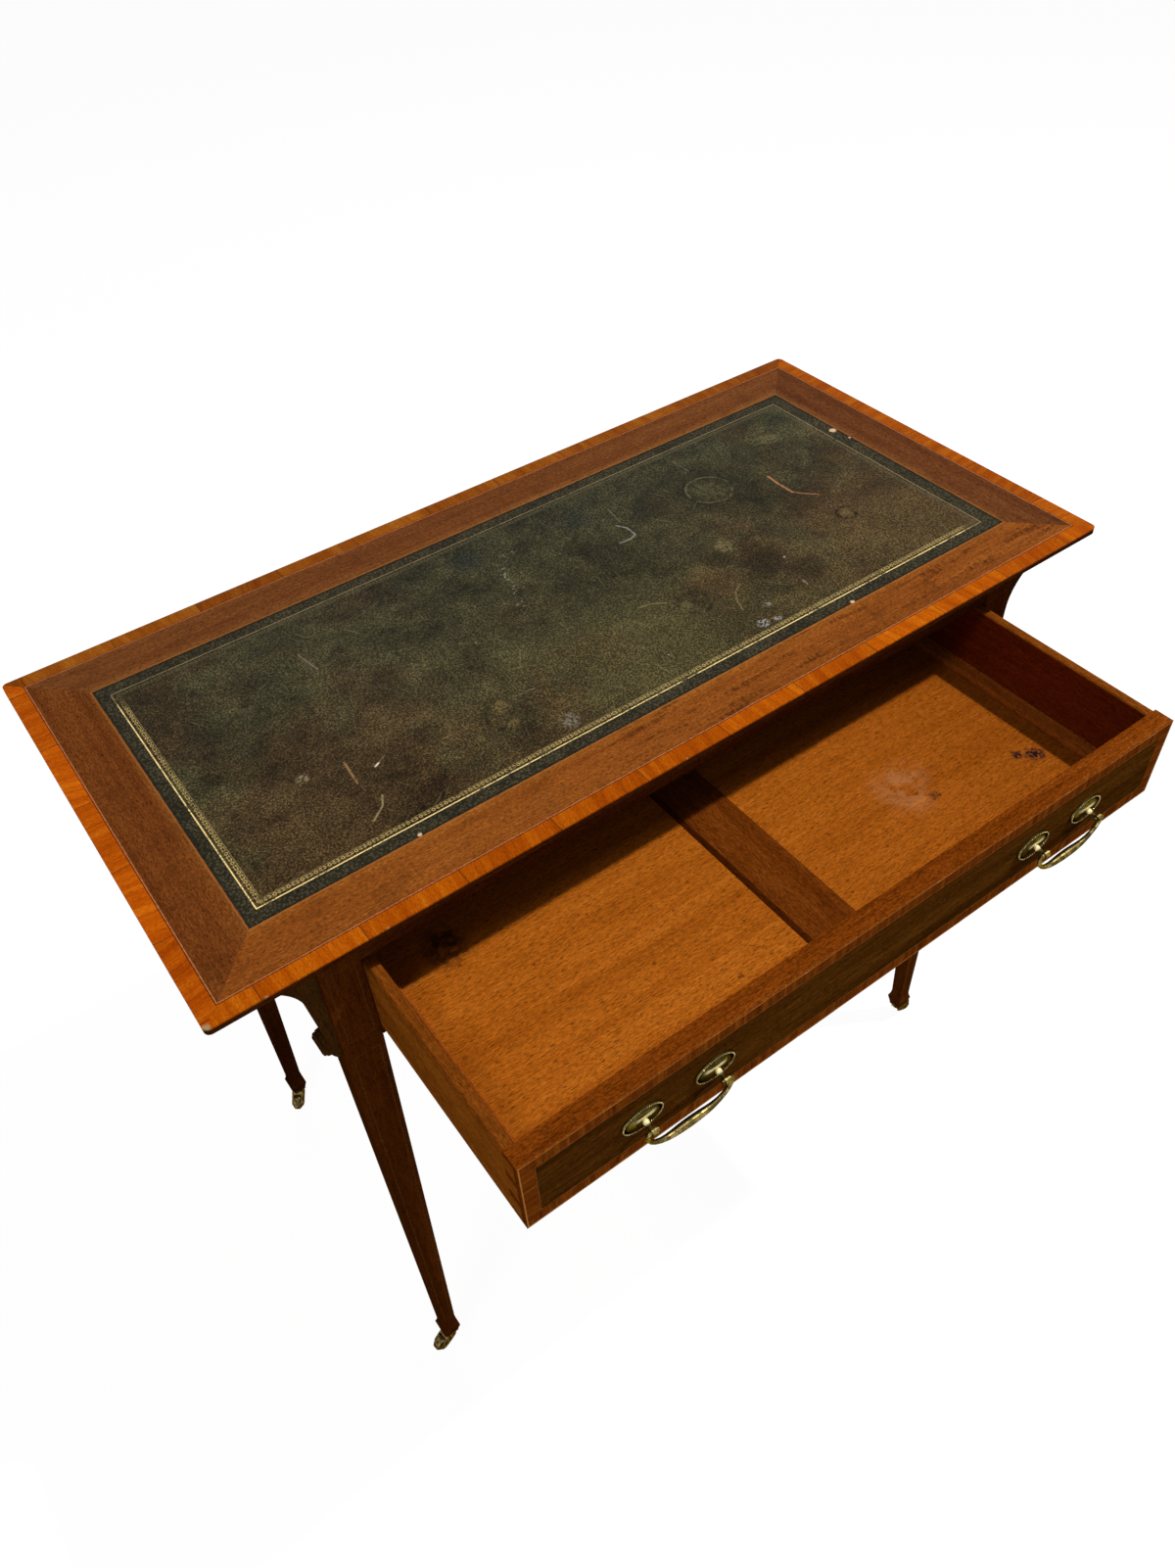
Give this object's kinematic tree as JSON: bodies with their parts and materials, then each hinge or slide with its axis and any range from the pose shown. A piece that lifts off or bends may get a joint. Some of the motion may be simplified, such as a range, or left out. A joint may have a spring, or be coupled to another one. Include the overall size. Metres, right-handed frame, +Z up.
{
  "type": "writing table",
  "caption": "Inlaid writing table with leather top, one long drawer on bail handles, bracketed overhangs and tapered legs ending in spade feet on brass castors.",
  "frame": {"origin": "on the floor, under the middle of the table top", "axes": "+X to the right along the top's long side, -Y to the drawer front, +Z up"},
  "size_m": [0.914, 0.6501, 0.775],
  "materials": {
    "top_ground": "polished mahogany edge",
    "satinwood": "polished satinwood crossband",
    "boxwood": "boxwood line",
    "border_veneer": "polished mahogany veneer",
    "skiver": "worn green leather",
    "mahogany": "french polished mahogany",
    "carcase_wood": "unfinished carcase timber",
    "drawer_wood": "waxed drawer lining",
    "front_veneer": "dark polished veneer",
    "front_band": "striped crossband veneer",
    "handle_brass": "aged brass",
    "castor_brass": "worn brass",
    "iron": "plain iron"
  },
  "bodies": {
    "table": {"top_panel": "top_ground", "top_crossband": "satinwood", "top_stringing": "boxwood", "top_border": "border_veneer", "leather_skiver": "skiver", "top_screws": "iron", "end_rail_left": "mahogany", "end_rail_right": "mahogany", "back_rail": "mahogany", "front_rail_upper": "mahogany", "front_rail_lower": "mahogany", "leg_front_left": "mahogany", "bracket_front_left": "mahogany", "leg_front_right": "mahogany", "bracket_front_right": "mahogany", "leg_back_left": "mahogany", "bracket_back_left": "mahogany", "leg_back_right": "mahogany", "bracket_back_right": "mahogany", "drawer_runner_left": "carcase_wood", "drawer_kicker_left": "carcase_wood", "drawer_runner_right": "carcase_wood", "drawer_kicker_right": "carcase_wood", "back_cleat": "carcase_wood", "drawer_stops": "carcase_wood", "castor_plate_front_left": "castor_brass", "castor_plate_front_right": "castor_brass", "castor_plate_back_left": "castor_brass", "castor_plate_back_right": "castor_brass"},
    "drawer": {"drawer_front": "mahogany", "drawer_front_field": "front_veneer", "drawer_front_crossband": "front_band", "drawer_side_left": "drawer_wood", "drawer_side_right": "drawer_wood", "drawer_back": "drawer_wood", "drawer_bottom_left": "drawer_wood", "drawer_bottom_right": "drawer_wood", "drawer_muntin": "drawer_wood", "drawer_slip_left": "drawer_wood", "drawer_slip_right": "drawer_wood", "handle_roses": "handle_brass", "handle_posts": "handle_brass", "handle_nuts": "handle_brass"},
    "bail_left": {"handle_bail_left": "handle_brass"},
    "bail_right": {"handle_bail_right": "handle_brass"},
    "castor_front_left": {"castor_fork_front_left": "castor_brass", "castor_axle_front_left": "castor_brass"},
    "wheel_front_left": {"castor_wheel_front_left": "castor_brass"},
    "castor_front_right": {"castor_fork_front_right": "castor_brass", "castor_axle_front_right": "castor_brass"},
    "wheel_front_right": {"castor_wheel_front_right": "castor_brass"},
    "castor_back_left": {"castor_fork_back_left": "castor_brass", "castor_axle_back_left": "castor_brass"},
    "wheel_back_left": {"castor_wheel_back_left": "castor_brass"},
    "castor_back_right": {"castor_fork_back_right": "castor_brass", "castor_axle_back_right": "castor_brass"},
    "wheel_back_right": {"castor_wheel_back_right": "castor_brass"}
  },
  "joints": [
    {"name": "drawer_slide", "type": "slide", "parent": "table", "child": "drawer", "axis": [0, -1, 0], "range_m": [-0.207, 0.1]},
    {"name": "bail_left_swing", "type": "hinge", "parent": "drawer", "child": "bail_left", "pos_m": [-0.2028, -0.4236, 0.688], "axis": [-1, 0, 0], "range_deg": [-24, 204]},
    {"name": "bail_right_swing", "type": "hinge", "parent": "drawer", "child": "bail_right", "pos_m": [0.2028, -0.4236, 0.688], "axis": [-1, 0, 0], "range_deg": [-24, 204]},
    {"name": "castor_front_left_swivel", "type": "hinge", "parent": "table", "child": "castor_front_left", "pos_m": [-0.363, -0.196, 0.0233], "axis": [0, 0, 1], "continuous": true},
    {"name": "castor_front_left_roll", "type": "hinge", "parent": "castor_front_left", "child": "wheel_front_left", "pos_m": [-0.37686, -0.19795, 0.01], "axis": [0.1392, -0.9903, 0], "continuous": true},
    {"name": "castor_front_right_swivel", "type": "hinge", "parent": "table", "child": "castor_front_right", "pos_m": [0.363, -0.196, 0.0233], "axis": [0, 0, 1], "continuous": true},
    {"name": "castor_front_right_roll", "type": "hinge", "parent": "castor_front_right", "child": "wheel_front_right", "pos_m": [0.37697, -0.19502, 0.01], "axis": [-0.0698, 0.9976, 0], "continuous": true},
    {"name": "castor_back_left_swivel", "type": "hinge", "parent": "table", "child": "castor_back_left", "pos_m": [-0.363, 0.196, 0.0233], "axis": [0, 0, 1], "continuous": true},
    {"name": "castor_back_left_roll", "type": "hinge", "parent": "castor_back_left", "child": "wheel_back_left", "pos_m": [-0.37162, 0.18497, 0.01], "axis": [0.788, -0.6157, 0], "continuous": true},
    {"name": "castor_back_right_swivel", "type": "hinge", "parent": "table", "child": "castor_back_right", "pos_m": [0.363, 0.196, 0.0233], "axis": [0, 0, 1], "continuous": true},
    {"name": "castor_back_right_roll", "type": "hinge", "parent": "castor_back_right", "child": "wheel_back_right", "pos_m": [0.35088, 0.203, 0.01], "axis": [-0.5, -0.866, 0], "continuous": true}
  ]
}
